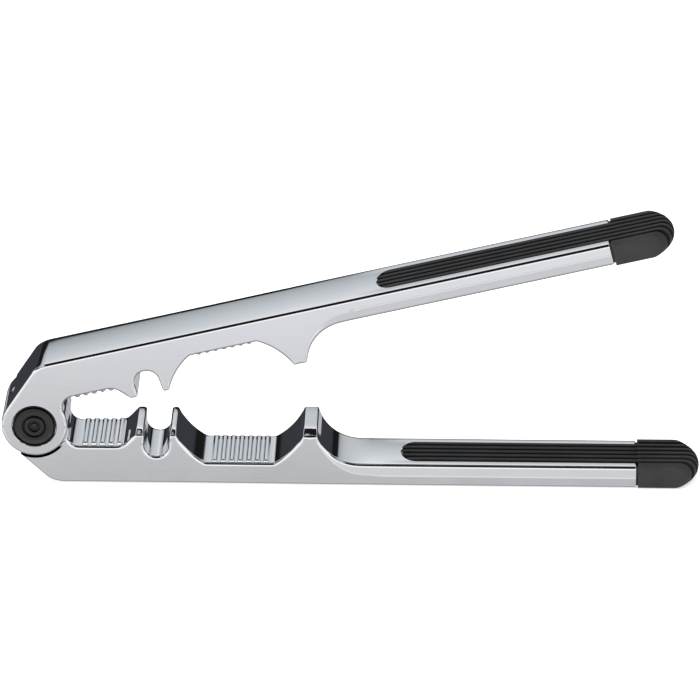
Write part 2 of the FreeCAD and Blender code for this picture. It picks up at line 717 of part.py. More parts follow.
# Barrel nut: its head sits in the lower lever's back cheek and its sleeve runs
# forward through all four lugs.  Local Y = 0 is the under-side of the head.
barrel = turned("pivot_barrel", [
    ("thread_bore / 2", "-barrel_length"),
    ("barrel_diameter / 2", "-barrel_length"),
    ("barrel_diameter / 2", "0"),
    ("head_diameter / 2", "0"),
    ("head_diameter / 2", "head_thick"),
    ("0", "head_thick"),
    ("0", "-0.3"),
    ("thread_bore / 2", "-0.3"),
])
hex_socket(barrel, "-head_thick", True)
place_axis(barrel, "lever_width / 2 - head_recess_deep + wave_thick")

# Screw: head in the upper lever's front cheek, shank threaded into the barrel.
screw = turned("pivot_screw", [
    ("0", "-head_thick"),
    ("head_diameter / 2", "-head_thick"),
    ("head_diameter / 2", "0"),
    ("screw_diameter / 2", "0"),
    ("screw_diameter / 2", "screw_length"),
    ("0", "screw_length"),
])
hex_socket(screw, "head_thick", True)
place_axis(screw, "-lever_width / 2 + head_recess_deep - wave_thick")

# Spring washers under both heads press the lugs together and give the joint the
# drag that keeps the levers where they are put.
for label, y, back in (
    ("front_spring_washer", "-lever_width / 2 + head_recess_deep - wave_thick + 0.03", False),
    ("back_spring_washer", "lever_width / 2 - head_recess_deep + wave_thick - 0.03", True),
):
    washer = turned(label, [
        ("wave_bore / 2", "0"),
        ("wave_outer / 2", "0"),
        ("wave_outer / 2", "wave_thick - 0.06"),
        ("wave_bore / 2", "wave_thick - 0.06"),
    ])
    place_axis(washer, y, back)

# Thin slide washers fill the three gaps between the lugs.
for label, mid in (
    ("front_slide_washer", "-slot_inner_mid - slot_inner_width / 2 + lug_gap / 2"),
    ("middle_slide_washer", "0"),
    ("back_slide_washer", "slot_inner_mid + slot_inner_width / 2 - lug_gap / 2"),
):
    washer = turned(label, [
        ("shim_bore / 2", "-shim_thick / 2"),
        ("shim_outer / 2", "-shim_thick / 2"),
        ("shim_outer / 2", "shim_thick / 2"),
        ("shim_bore / 2", "shim_thick / 2"),
    ])
    place_axis(washer, mid)

# Snap-in caps with turned rings hide the heads.  Local Y = 0 is the cheek's face.
for label, y, back in (
    ("front_pivot_cap", "-lever_width / 2", False),
    ("back_pivot_cap", "lever_width / 2", True),
):
    cap = turned(label, [
        ("0", "cap_thick"),
        ("0", "0.05"),
        ("0.9", "-0.15"),
        ("1.3", "-cap_proud"),
        ("2.3", "-cap_proud"),
        ("2.6", "-0.05"),
        ("3.3", "-0.05"),
        ("3.7", "-cap_proud"),
        ("5.3", "-cap_proud"),
        ("cap_diameter / 2 - 0.15", "-0.1"),
        ("cap_diameter / 2", "0.15"),
        ("cap_diameter / 2", "cap_thick"),
    ])
    place_axis(cap, y, back)

doc.recompute()

# ------------------------------------------------------------------ write out
for o in doc.Objects:
    solid_check(o)
for body in ALL:
    s = body.Shape
    if s.isNull() or not s.isValid() or len(s.Solids) != 1:
        raise RuntimeError("%s: null, not valid or not one solid (%d)" % (body.Label, len(s.Solids)))
for body in ALL:
    body.Shape.exportStep("parts/%s.step" % body.Label)
    b = body.Shape.BoundBox
    print("%-22s volume %9.1f mm3  x %.2f..%.2f y %.2f..%.2f z %.2f..%.2f" % (
        body.Label, body.Shape.Volume, b.XMin, b.XMax, b.YMin, b.YMax, b.ZMin, b.ZMax))
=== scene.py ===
import math

import bmesh
import bpy
from mathutils import Matrix, Vector


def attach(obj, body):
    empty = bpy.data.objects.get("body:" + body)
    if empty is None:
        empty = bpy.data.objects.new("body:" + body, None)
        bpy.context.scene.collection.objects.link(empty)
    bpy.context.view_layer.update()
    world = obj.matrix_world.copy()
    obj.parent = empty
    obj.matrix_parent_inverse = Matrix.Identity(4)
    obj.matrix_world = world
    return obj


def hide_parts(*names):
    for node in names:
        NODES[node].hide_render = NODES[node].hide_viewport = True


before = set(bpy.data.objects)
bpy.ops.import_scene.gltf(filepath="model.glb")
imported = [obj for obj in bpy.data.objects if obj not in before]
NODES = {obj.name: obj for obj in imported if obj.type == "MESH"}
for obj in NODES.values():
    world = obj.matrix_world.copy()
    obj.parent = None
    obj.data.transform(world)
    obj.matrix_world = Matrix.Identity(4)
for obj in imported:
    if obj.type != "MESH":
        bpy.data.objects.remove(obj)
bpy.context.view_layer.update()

COLL = bpy.context.scene.collection

# ---------------------------------------------------------------- lever frame
# Lengths here are millimetres in a lever's own frame: x along the lever from the
# pivot axis, z from the closing plane to the outer face, y across the width.
PIVOT = Vector((-90.5, 0.0, 18.0))
OPEN = math.radians(13.7)
TO_LOWER = Matrix.Translation(PIVOT) @ Matrix.Rotation(math.pi, 4, "X")
TO_UPPER = Matrix.Translation(PIVOT) @ Matrix.Rotation(-OPEN, 4, "Y")
MM = Matrix.Scale(0.001, 4)

HALF = 9.5
OUTER = 18.0
INNER = 11.25
CHROME_END = 172.4
EDGE = 0.88            # radius of the casting's long edges
CREASE_Z = 14.6        # level of the crease along the handle's sides
BEVEL = 0.26           # how far the inner half of the side leans in
CROWN = 0.15           # rise of the outer and inner faces across the width
ACROSS = (0.2, 0.4, 0.58, 0.7, 0.79, 0.87, 0.94)
HANDLE_X = 96.0


def smooth(t):
    t = max(0.0, min(1.0, t))
    return t * t * (3 - 2 * t)


def belt(arcs):
    n = len(arcs)
    leave, reach = [None] * n, [None] * n
    for i in range(n):
        x0, z0, r0, s0 = arcs[i]
        x1, z1, r1, s1 = arcs[(i + 1) % n]
        far = math.hypot(x1 - x0, z1 - z0)
        k = max(-1.0, min(1.0, (s1 * r1 - s0 * r0) / far))
        a = math.atan2(z1 - z0, x1 - x0) + math.acos(k)
        nx, nz = math.cos(a), math.sin(a)
        leave[i] = (x0 - s0 * r0 * nx, z0 - s0 * r0 * nz)
        reach[(i + 1) % n] = (x1 - s1 * r1 * nx, z1 - s1 * r1 * nz)
    return reach, leave


def casting_outline():
    """Samples (x, z, outward nx, nz, edge radius) from the chrome end of the outer
    face, round the back of the boss and along the jaw, to the chrome end of the
    inner face.  The long edges are rounded less where the outline turns tightly."""
    pocket_z = 6.3 - 3.6
    pocket_x = math.sqrt((9.485 + 3.6) ** 2 - pocket_z ** 2)
    cz = 11.2 - 2.0
    cx = math.sqrt((19.8 - 2.0) ** 2 - (cz + 6.0) ** 2)
    arcs = [
        (8.13, 11.0, 7.0, 1),
        (0.0, 0.0, 9.485, 1),
        (pocket_x, pocket_z, 3.6, -1),
        (23.0, 1.3, 5.0, -1),
        (29.4, 2.8, 0.8, 1),
        (30.5, 2.8, 0.8, 1),
        (34.8, 5.9, 3.5, -1),
        (39.4, 2.8, 0.8, 1),
        (39.95, 2.8, 0.8, 1),
        (58.6, -6.0, 19.8, -1),
        (58.6 - cx, cz, 2.0, -1),
        (58.6 + cx, cz, 2.0, -1),
        (58.6, -6.0, 19.8, -1),
        (77.45, 2.45, 0.8, 1),
        (80.3, 2.45, 0.8, 1),
        (92.8, INNER - 12.0, 12.0, -1),
        (CHROME_END - 1.0, INNER + 1.0, 1.0, 1),
        (CHROME_END - 1.0, OUTER - 1.0, 1.0, 1),
    ]
    reach, leave = belt(arcs)
    handle = [HANDLE_X + (CHROME_END - HANDLE_X) * k / 22.0 for k in range(23)]
    out = [(x, OUTER, 0.0, 1.0, EDGE) for x in reversed(handle)]

    def line(p, q, step):
        d = math.hypot(q[0] - p[0], q[1] - p[1])
        n = max(1, int(math.ceil(d / step)))
        nx, nz = (q[1] - p[1]) / d, -(q[0] - p[0]) / d
        for k in range(1, n + 1):
            t = k / n
            out.append((p[0] + (q[0] - p[0]) * t, p[1] + (q[1] - p[1]) * t, nx, nz, EDGE))

    def arc(c, p, q):
        x, z, r, s = c
        a0 = math.atan2(p[1] - z, p[0] - x)
        a1 = math.atan2(q[1] - z, q[0] - x)
        if s > 0:
            while a1 < a0 - 1e-9:
                a1 += 2 * math.pi
        else:
            while a1 > a0 + 1e-9:
                a1 -= 2 * math.pi
        sweep = abs(a1 - a0)
        n = max(2, int(math.ceil(max(sweep / math.radians(7.0), sweep * r / 0.9))))
        if r > 8:
            n = max(n, int(math.ceil(sweep / math.radians(3.0))))
        for k in range(1, n + 1):
            a = a0 + (a1 - a0) * k / n
            out.append((x + r * math.cos(a), z + r * math.sin(a), s * math.cos(a), s * math.sin(a),
                        0.75 * r if s > 0 and r < 1.1 else EDGE))

    line((HANDLE_X, OUTER), reach[0], 3.0)
    for i in range(16):
        arc(arcs[i], reach[i], leave[i])
        if i < 15 and math.hypot(leave[i][0] - reach[i + 1][0], leave[i][1] - reach[i + 1][1]) > 1e-3:
            line(leave[i], reach[i + 1], 1.6)
    line(leave[15], (HANDLE_X, INNER), 0.9)
    out += [(x, INNER, 0.0, -1.0, EDGE) for x in handle[1:]]
    run = [0.0]
    for a, b in zip(out, out[1:]):
        run.append(run[-1] + math.hypot(b[0] - a[0], b[1] - a[1]))
    tight = [(run[i], out[i][4]) for i in range(len(out)) if out[i][4] < EDGE]
    return [o[:4] + (min([EDGE] + [e + 0.2 * abs(run[i] - at) for at, e in tight]),)
            for i, o in enumerate(out)]


def new_object(name, bm, smooth_angle=32.0, recalc=False):
    if recalc:
        bmesh.ops.recalc_face_normals(bm, faces=bm.faces)
    me = bpy.data.meshes.new(name)
    for f in bm.faces:
        f.smooth = True
    bm.to_mesh(me)
    bm.free()
    ob = bpy.data.objects.new(name, me)
    COLL.objects.link(ob)
    return ob


def set_sharp(me, degrees):
    bm = bmesh.new()
    bm.from_mesh(me)
    limit = math.radians(degrees)
    for f in bm.faces:
        f.smooth = True
    for e in bm.edges:
        e.smooth = not (len(e.link_faces) != 2 or e.calc_face_angle(0.0) > limit)
    bm.to_mesh(me)
    bm.free()


def fall(y, flat, crown, x, outer):
    """How far a broad face lies below its middle at y, with the polished margin
    along its edge and the lip round the strip's channel.  Along the jaw the outer
    face is polished down further towards its back edge."""
    if crown <= 0.0:
        return 0.0
    full = crown / CROWN
    lip = smooth((x - 100.0) / 5.0)
    d = crown * (y / flat) ** 2
    d += full * (1.0 - lip) * 0.0035 * max(0.0, abs(y) - 7.2) ** 3
    d += full * lip * 0.0175 * (8.3 - min(8.3, max(6.3, abs(y)))) ** 2
    if outer:
        d += full * (1.0 - smooth((x - 45.0) / 50.0)) * 0.13 * max(0.0, (y - 7.0) / 1.62) ** 3
    return d


def casting_blank():
    """The casting as one closed mesh: rounded long edges, crowned outer and inner
    faces, and a bevel on the inner half of the handle's sides."""
    samples = casting_outline()
    n = len(samples)
    first_inner = n - 22 - 1            # the inner sample at HANDLE_X
    last_outer = 22                     # the outer sample at HANDLE_X
    bm = bmesh.new()
    rows = []
    # steps round each rounded long edge; the flank behind the third tooth, where the bevel widens, runs from x 81.2 to
    # 95.2 below
    steps = 8
    for i, (x, z, nx, nz, edge) in enumerate(samples):
        crown = 0.0
        if nz > 0.75 and z > 15.0:
            crown = CROWN * smooth((nz - 0.75) / 0.25)
        elif i >= first_inner or (x > 86 and z < INNER + 0.01):
            crown = CROWN * smooth((x - 88.0) / 10.0)
        w, lean = edge + crown + 0.03, 0.0
        if i >= first_inner:
            w, lean = CREASE_Z - INNER, BEVEL
        elif x > 81.2 and z < INNER + 0.01:
            t = smooth((x - 81.2) / (95.2 - 81.2))
            w += (CREASE_Z - INNER - w) * t
            lean = BEVEL * t
        flat = HALF - lean - edge
        outer = z > 15.0
        rim = fall(-flat, flat, crown, x, outer)
        rim2 = fall(flat, flat, crown, x, outer)
        w = max(w, edge + rim2 + 0.03)
        near = min(0.5, 0.4 / (w - edge - rim))
        near2 = min(0.5, 0.4 / (w - edge - rim2))
        prof = [(w, -HALF), (w + (edge + rim - w) * near, -HALF + lean * near)]
        for k in range(steps + 1):
            a = math.pi / 2 * k / steps
            prof.append((edge * (1 - math.sin(a)) + rim, -(HALF - lean) + edge * (1 - math.cos(a))))
        for f in [-f for f in reversed(ACROSS)] + [0.0] + list(ACROSS):
            prof.append((fall(f * flat, flat, crown, x, outer), f * flat))
        for k in range(steps, -1, -1):
            a = math.pi / 2 * k / steps
            prof.append((edge * (1 - math.sin(a)) + rim2, (HALF - lean) - edge * (1 - math.cos(a))))
        prof += [(w + (edge + rim2 - w) * near2, HALF - lean * near2), (w, HALF)]
        rows.append([bm.verts.new((x - nx * a, y, z - nz * a)) for a, y in prof])
    for a, b in zip(rows, rows[1:]):
        for k in range(len(a) - 1):
            bm.faces.new((a[k], a[k + 1], b[k + 1], b[k]))
    # side faces: jaw part as one flat face, handle part in strips
    mids = []
    for col, flip in ((0, False), (-1, True)):
        mid = [bm.verts.new((rows[last_outer - k][col].co.x, -HALF if col == 0 else HALF, CREASE_Z + 0.35))
               for k in range(23)]
        mids.append(mid)
        jaw = [rows[i][col] for i in range(last_outer, first_inner + 1)] + [mid[0]]
        f = jaw if flip else list(reversed(jaw))
        bm.faces.new(f)
        for k in range(22):
            o0, o1 = rows[last_outer - k][col], rows[last_outer - k - 1][col]
            i0, i1 = rows[first_inner + k][col], rows[first_inner + k + 1][col]
            for quad in ((o0, mid[k], mid[k + 1], o1), (mid[k], i0, i1, mid[k + 1])):
                bm.faces.new(quad if not flip else tuple(reversed(quad)))
    # rounded chrome end
    loop = list(rows[0]) + [mids[1][22]] + list(reversed(rows[-1])) + [mids[0][22]]
    pts = [Vector((v.co.y, v.co.z)) for v in loop]
    m = len(pts)
    normals = []
    for k in range(m):
        t = pts[(k + 1) % m] - pts[k - 1]
        nrm = Vector((t.y, -t.x)).normalized()
        normals.append(nrm)
    cen = sum(pts, Vector((0, 0))) / m
    if sum((p - cen).dot(q) for p, q in zip(pts, normals)) < 0:
        normals = [-q for q in normals]
    prev = loop
    re = 0.5
    for s in range(1, 6):
        a = math.pi / 2 * s / 5
        cur = []
        for p, q in zip(pts, normals):
            w = p - q * (re * (1 - math.cos(a)))
            cur.append(bm.verts.new((CHROME_END + re * math.sin(a) - re, w.x, w.y)))
        for k in range(m):
            k2 = (k + 1) % m
            bm.faces.new((prev[k], prev[k2], cur[k2], cur[k]))
        prev = cur
    for v in loop:
        v.co.x = CHROME_END - re
    bm.faces.new(prev)
    bmesh.ops.recalc_face_normals(bm, faces=bm.faces)
    return bm


def bm_cylinder(r, y0, y1, seg=160, flare=0.0, flare_at=None):
    """Closed cylinder along Y in the lever frame."""
    bm = bmesh.new()
    levels = [(y0, r), (y1, r)]
    if flare:
        if flare_at == "low":
            levels = [(y0 - 1.0, r + flare), (y0, r + flare), (y0 + flare, r), (y1, r)]
        else:
            levels = [(y0, r), (y1 - flare, r), (y1, r + flare), (y1 + 1.0, r + flare)]
    rings = []
    for y, rr in levels:
        rings.append([bm.verts.new((rr * math.cos(2 * math.pi * k / seg), y, rr * math.sin(2 * math.pi * k / seg)))
                      for k in range(seg)])
    for a, b in zip(rings, rings[1:]):
        for k in range(seg):
            k2 = (k + 1) % seg
            bm.faces.new((a[k], a[k2], b[k2], b[k]))
    bm.faces.new(list(reversed(rings[0])))
    bm.faces.new(rings[-1])
    bmesh.ops.recalc_face_normals(bm, faces=bm.faces)
    return bm


def nose_half(x, start, nose, half):
    if x >= start + nose:
        return half
    t = (start + nose - x) / nose
    return half * math.sqrt(max(0.0, 1 - t * t))


def seat_loop(start, nose, half, end, grow=0.0):
    """Counter-clockwise outline of a strip seat seen along -Z."""
    pts = []
    n = 20
    for k in range(n + 1):
        a = math.pi / 2 + math.pi * k / n
        pts.append((start + nose + (nose + grow) * math.cos(a), (half + grow) * math.sin(a)))
    pts.append((end, -half - grow))
    pts.append((end, half + grow))
    return pts


def bm_seat(z_floor, z_mouth, z_out):
    """Cutter for the channel that a grip strip lies in, with a small chamfer at
    its mouth.  z_floor, z_mouth and z_out go from the channel's floor outwards."""
    bm = bmesh.new()
    sign = 1.0 if z_out > z_floor else -1.0
    lv = [(z_floor, 0.0), (z_mouth - sign * 0.34, 0.0), (z_mouth - sign * 0.10, 0.10), (z_mouth + sign * 0.02, 0.30), (z_out, 0.34)]
    rings = []
    for z, g in lv:
        rings.append([bm.verts.new((x, y, z)) for x, y in seat_loop(105.0, 4.0, 6.0, 176.0, g)])
    m = len(rings[0])
    for a, b in zip(rings, rings[1:]):
        for k in range(m):
            k2 = (k + 1) % m
            bm.faces.new((a[k], a[k2], b[k2], b[k]))
    bm.faces.new(rings[0])
    bm.faces.new(list(reversed(rings[-1])))
    bmesh.ops.recalc_face_normals(bm, faces=bm.faces)
    return bm


def bm_rib(x, z, r, length, seg=20):
    """A crushing rib: a rod along Y with rounded ends."""
    bm = bmesh.new()
    rings = []
    ends = 5
    half = length / 2
    end = 0.55 * r
    prof = []
    for k in range(1, ends + 1):
        a = math.pi / 2 * k / ends
        prof.append((-half + end - end * math.cos(a), r * math.sin(a)))
    for k in range(ends, 0, -1):
        a = math.pi / 2 * k / ends
        prof.append((half - end + end * math.cos(a), r * math.sin(a)))
    for y, rr in prof:
        rings.append([bm.verts.new((x + rr * math.cos(2 * math.pi * k / seg), y, z + rr * math.sin(2 * math.pi * k / seg)))
                      for k in range(seg)])
    for a, b in zip(rings, rings[1:]):
        for k in range(seg):
            k2 = (k + 1) % seg
            bm.faces.new((a[k], a[k2], b[k2], b[k]))
    p0 = bm.verts.new((x, -half, z))
    p1 = bm.verts.new((x, half, z))
    for k in range(seg):
        k2 = (k + 1) % seg
        bm.faces.new((p0, rings[0][k2], rings[0][k]))
        bm.faces.new((p1, rings[-1][k], rings[-1][k2]))
    bmesh.ops.recalc_face_normals(bm, faces=bm.faces)
    return bm


def boolean(target, cutters, operation):
    """Exact boolean with each cutter in turn, applied to the target's mesh."""
    for c in cutters:
        mod = target.modifiers.new("cut", "BOOLEAN")
        mod.operation = operation
        mod.solver = "EXACT"
        mod.object = c
        dg = bpy.context.evaluated_depsgraph_get()
        dg.update()
        me = bpy.data.meshes.new_from_object(target.evaluated_get(dg))
        target.modifiers.remove(mod)
        old = target.data
        target.data = me
        bpy.data.meshes.remove(old)
    for c in cutters:
        me = c.data
        bpy.data.objects.remove(c)
        bpy.data.meshes.remove(me)


def build_casting():
    body = new_object("casting_work", casting_blank())
    ribs = []
    for k in range(5):
        x = 14.35 + 2.475 * k
        floor = 6.3 if x < 23.0 else 1.3 + math.sqrt(25.0 - (x - 23.0) ** 2)
        ribs.append(new_object("rib_p%d" % k, bm_rib(x, floor + 0.02, 0.95, 17.0)))
    for k in range(7):
        ribs.append(new_object("rib_h%d" % k, bm_rib(51.4 + 2.46 * k, 11.2 + 0.25, 0.95, 17.0)))
    boolean(body, ribs, "UNION")
    cut = [
        new_object("slot_a", bm_cylinder(10.0, -5.05, 0.2)),
        new_object("slot_b", bm_cylinder(10.0, 4.65, 12.0)),
        new_object("bore", bm_cylinder(3.03, -12.0, 12.0, 64)),
        new_object("head", bm_cylinder(5.1, -12.0, -6.2, 64)),
        new_object("cap_seat", bm_cylinder(6.3, -HALF, -8.2, 128, 0.18, "low")),
        new_object("seat_out", bm_seat(17.0, OUTER - 0.15, 19.5)),
        new_object("seat_in", bm_seat(12.25, INNER + 0.15, 9.8)),
    ]
    boolean(body, cut, "DIFFERENCE")
    # the polished tips fall away a little towards the sides of the casting
    for v in body.data.vertices:
        x, y, z = v.co
        side = (abs(y) - 4.5) / 5.0
        if side <= 0.0 or z > 7.0:
            continue
        if 74.0 < x < 85.0:
            drop = 0.85 if y > 0 else 0.05
            near = smooth((x - 74.0) / 2.0) * smooth((85.0 - x) / 2.5)
        elif 26.0 < x < 45.0:
            drop = 0.5 if y > 0 else 0.2
            near = smooth((x - 27.8) / 1.0) * smooth((45.0 - x) / 2.0)
        else:
            continue
        v.co.z = z + drop * side * side * near * (1.0 - smooth((z - 2.5) / 4.5))
    return body


# ---------------------------------------------------------------- grip
def groove(y, pitch, count, width, depth):
    """Depth of the grooves between the ribs at y; ribs are slightly crowned."""
    k = round(y / pitch)
    rib_d = y - k * pitch
    g = 0.05 * (2 * rib_d / pitch) ** 2
    near = None
    for j in range(count - 1):
        gy = (j - (count - 2) / 2.0) * pitch
        d = abs(y - gy)
        if near is None or d < near:
            near = d
    if near is not None and near < width / 2:
        t = near / (width / 2)
        g = g + (depth - g) * (0.5 + 0.5 * math.cos(math.pi * t)) ** 0.8
    return g


def y_samples(half, pitch, count, width, extra):
    ys = set()
    for j in range(count - 1):
        gy = (j - (count - 2) / 2.0) * pitch
        for t in (-1.0, -0.75, -0.5, -0.25, 0.0, 0.25, 0.5, 0.75, 1.0):
            ys.add(round(gy + t * width / 2, 4))
    for j in range(count):
        ry = (j - (count - 1) / 2.0) * pitch
        for t in (-0.5, 0.0, 0.5):
            ys.add(round(ry + t * pitch * 0.45, 4))
    for e in extra:
        ys.add(round(e, 4))
        ys.add(round(-e, 4))
    return sorted(y for y in ys if abs(y) <= half + 1e-6)


GROOVE_W, GROOVE_D, PITCH = 1.16, 0.80, 2.55


def build_cap():
    """Ribbed end cap: ribs run along the outer face, round the end and back."""
    half, low, high = 9.4, 10.9, 18.0
    rr, plan, rf = 3.4, 12.6, 0.75
    x0, x_end = 172.9, 190.5
    ys = y_samples(half - rf, PITCH, 7, GROOVE_W, [half - rf])
    fillet = [half - rf + rf * math.sin(math.pi / 2 * k / 6) for k in range(1, 7)]
    ys = [-f for f in reversed(fillet)] + ys + fillet
    bm = bmesh.new()
    nx_line, nx_arc = 14, 12
    cols = []
    mid_index = None
    for y in ys:
        ay = abs(y)
        xe = x_end - (plan - math.sqrt(plan * plan - ay * ay))
        if ay > half - rf + 1e-6:
            t = (ay - (half - rf)) / rf
            inset = rf * (1 - math.sqrt(max(0.0, 1 - t * t)))
        else:
            inset = groove(y, PITCH, 7, GROOVE_W, GROOVE_D)
        path = []
        for k in range(nx_line + 1):
            path.append((x0 + (xe - rr - x0) * k / nx_line, high, 0.0, 1.0))
        for k in range(1, nx_arc + 1):
            a = math.pi / 2 * (1 - k / nx_arc)
            path.append((xe - rr + rr * math.cos(a), high - rr + rr * math.sin(a), math.cos(a), math.sin(a)))
        path.append((xe, CREASE_Z - 0.15, 1.0, 0.0))
        mid_index = len(path) - 1
        for k in range(0, nx_arc + 1):
            a = -math.pi / 2 * k / nx_arc
            path.append((xe - rr + rr * math.cos(a), low + rr + rr * math.sin(a), math.cos(a), math.sin(a)))
        for k in range(1, nx_line + 1):
            path.append((xe - rr + (x0 - xe + rr) * k / nx_line, low, 0.0, -1.0))
        col = []
        for x, z, px, pz in path:
            px2 = x - px * inset
            pz2 = z - pz * inset
            lean = 1.0
            if pz2 < CREASE_Z - 0.15:
                lean = 1.0 - 0.028 * (CREASE_Z - 0.15 - pz2) / (CREASE_Z - low)
            col.append(bm.verts.new((max(px2, x0), y * lean, pz2)))
        cols.append(col)
    for a, b in zip(cols, cols[1:]):
        for k in range(len(a) - 1):
            bm.faces.new((a[k], a[k + 1], b[k + 1], b[k]))
    last = len(cols[0]) - 1
    hub = []
    for col in (cols[0], cols[-1]):
        c = bm.verts.new((x0, col[mid_index].co.y, CREASE_Z - 0.15))
        bm.faces.new([c] + col[0:mid_index + 1])
        bm.faces.new([c] + col[mid_index:last + 1])
        hub.append(c)
    bm.faces.new([hub[0]] + [c[0] for c in cols] + [hub[1]] + [c[last] for c in reversed(cols)])
    bmesh.ops.recalc_face_normals(bm, faces=bm.faces)
    return bm


def build_strip(z_top, z_root):
    """Ribbed strip lying in its channel; z_top is the crest level."""
    sign = 1.0 if z_top > z_root else -1.0
    start, nose, half = 105.12, 3.95, 5.88
    end = 173.6
    rf = 0.32
    base = y_samples(half - rf, PITCH, 5, GROOVE_W, [half - rf])
    fil = [(half - rf + rf * math.sin(math.pi / 2 * k / 4), rf * (1 - math.cos(math.pi / 2 * k / 4))) for k in range(1, 5)]
    xs = [start + nose * (1 - math.cos(math.pi / 2 * k / 12.0)) for k in range(1, 13)]
    xs += [start + nose + (end - start - nose) * k / 26.0 for k in range(1, 27)]
    bm = bmesh.new()
    rows = []
    for x in xs:
        h = nose_half(x, start, nose, half)
        s = h / half
        fade = smooth((x - start) / 0.7)
        row = []
        edge_drop = 0.0 if x > start + 1.2 else rf * (1 - math.sqrt(max(0.0, 1 - (1 - (x - start) / 1.2) ** 2)))
        row.append(bm.verts.new((x, -h, z_root)))
        for fy, drop in reversed(fil):
            row.append(bm.verts.new((x, -fy * s, z_top - sign * max(drop, edge_drop))))
        for y in base:
            g = groove(y * s, PITCH, 5, GROOVE_W, GROOVE_D) * fade
            row.append(bm.verts.new((x, y * s, z_top - sign * max(g, edge_drop))))
        for fy, drop in fil:
            row.append(bm.verts.new((x, fy * s, z_top - sign * max(drop, edge_drop))))
        row.append(bm.verts.new((x, h, z_root)))
        rows.append(row)
    for a, b in zip(rows, rows[1:]):
        for k in range(len(a) - 1):
            bm.faces.new((a[k], a[k + 1], b[k + 1], b[k]))
        bm.faces.new((a[-1], a[0], b[0], b[-1]))
    bm.faces.new(rows[0])
    bm.faces.new(list(reversed(rows[-1])))
    bmesh.ops.recalc_face_normals(bm, faces=bm.faces)
    return bm


def build_shoulder():
    """Neck of the grip between the casting's end and the cap."""
    bm = bmesh.new()
    hy, zl, zh = 8.85, INNER + 0.55, OUTER - 0.55
    c = 0.6
    pts = []
    for sy, sz, a0 in ((1, 1, 0), (-1, 1, 90), (-1, -1, 180), (1, -1, 270)):
        cy, cz = sy * (hy - c), (zh - c) if sz > 0 else (zl + c)
        for k in range(5):
            a = math.radians(a0 + 90 * k / 4)
            pts.append((cy + c * math.cos(a), cz + c * math.sin(a)))
    rings = [[bm.verts.new((x, y, z)) for y, z in pts] for x in (172.1, 173.6)]
    m = len(pts)
    for k in range(m):
        k2 = (k + 1) % m
        bm.faces.new((rings[0][k], rings[0][k2], rings[1][k2], rings[1][k]))
    bm.faces.new(rings[0])
    bm.faces.new(list(reversed(rings[1])))
    bmesh.ops.recalc_face_normals(bm, faces=bm.faces)
    return bm


def build_grip():
    cap = new_object("grip_work", build_cap())
    boolean(cap, [
        new_object("strip_a", build_strip(18.0, 17.05)),
        new_object("strip_b", build_strip(11.0, 12.2)),
        new_object("neck", build_shoulder()),
    ], "UNION")
    return cap


# ---------------------------------------------------------------- pivot cap
def lathe(profile, seg=160):
    """Turned piece about Y from (radius, y) points; closed at both poles."""
    bm = bmesh.new()
    rings = []
    for r, y in profile:
        if r < 1e-6:
            rings.append([bm.verts.new((0, y, 0))])
        else:
            rings.append([bm.verts.new((r * math.cos(2 * math.pi * k / seg), y, r * math.sin(2 * math.pi * k / seg)))
                          for k in range(seg)])
    for a, b in zip(rings, rings[1:]):
        for k in range(seg):
            k2 = (k + 1) % seg
            if len(a) == 1:
                bm.faces.new((a[0], b[k2], b[k]))
            elif len(b) == 1:
                bm.faces.new((a[k], a[k2], b[0]))
            else:
                bm.faces.new((a[k], a[k2], b[k2], b[k]))
    bmesh.ops.recalc_face_normals(bm, faces=bm.faces)
    return bm


def soften(points, r, n=4):
    """Rounds the corners of a polyline by arcs of about radius r."""
    out = [points[0]]
    for p, q, s in zip(points, points[1:], points[2:]):
        a, b = Vector(p) - Vector(q), Vector(s) - Vector(q)
        la, lb = a.length, b.length
        d = min(r, la * 0.45, lb * 0.45)
        if d < 1e-4:
            out.append(q)
            continue
        a.normalize(); b.normalize()
        p0, p1 = Vector(q) + a * d, Vector(q) + b * d
        for k in range(n + 1):
            t = k / n
            v = p0 * (1 - t) ** 2 + Vector(q) * 2 * t * (1 - t) + p1 * t * t
            out.append((v.x, v.y))
    out.append(points[-1])
    return out


def build_pivot_cap():
    """Local Y = 0 is the cheek's face, -Y faces outwards."""
    prof = [(0.0, -0.06), (0.60, -0.05), (0.92, 0.08), (1.02, 0.62), (1.58, 0.62), (1.70, -0.10),
            (1.92, -0.36), (2.62, -0.36), (2.86, -0.14), (2.98, 0.62), (3.36, 0.62), (3.48, -0.16),
            (3.66, -0.24), (4.40, -0.12), (4.98, -0.22), (5.30, -0.36), (5.50, -0.30), (5.60, 0.0),
            (5.64, 0.85), (6.06, 0.85), (6.10, 0.06), (6.18, 0.10), (6.18, 1.2), (0.0, 1.2)]
    return lathe(soften(prof, 0.14))


# ---------------------------------------------------------------- materials
def mat_nodes(name):
    m = bpy.data.materials.new(name)
    m.use_nodes = True
    nt = m.node_tree
    for n in list(nt.nodes):
        nt.nodes.remove(n)
    out = nt.nodes.new("ShaderNodeOutputMaterial")
    bsdf = nt.nodes.new("ShaderNodeBsdfPrincipled")
    nt.links.new(bsdf.outputs[0], out.inputs[0])
    return m, nt, bsdf


def noise(nt, vec, scale, detail=4.0, rough=0.55):
    n = nt.nodes.new("ShaderNodeTexNoise")
    n.inputs["Scale"].default_value = scale
    n.inputs["Detail"].default_value = detail
    n.inputs["Roughness"].default_value = rough
    nt.links.new(vec, n.inputs["Vector"])
    return n.outputs["Fac"]


def ramp(nt, fac, stops):
    r = nt.nodes.new("ShaderNodeValToRGB")
    el = r.color_ramp.elements
    while len(el) > 1:
        el.remove(el[-1])
    for i, (p, c) in enumerate(stops):
        e = el[0] if i == 0 else el.new(p)
        e.position = p
        e.color = c if len(c) == 4 else (*c, 1.0)
    nt.links.new(fac, r.inputs["Fac"])
    return r.outputs["Color"]


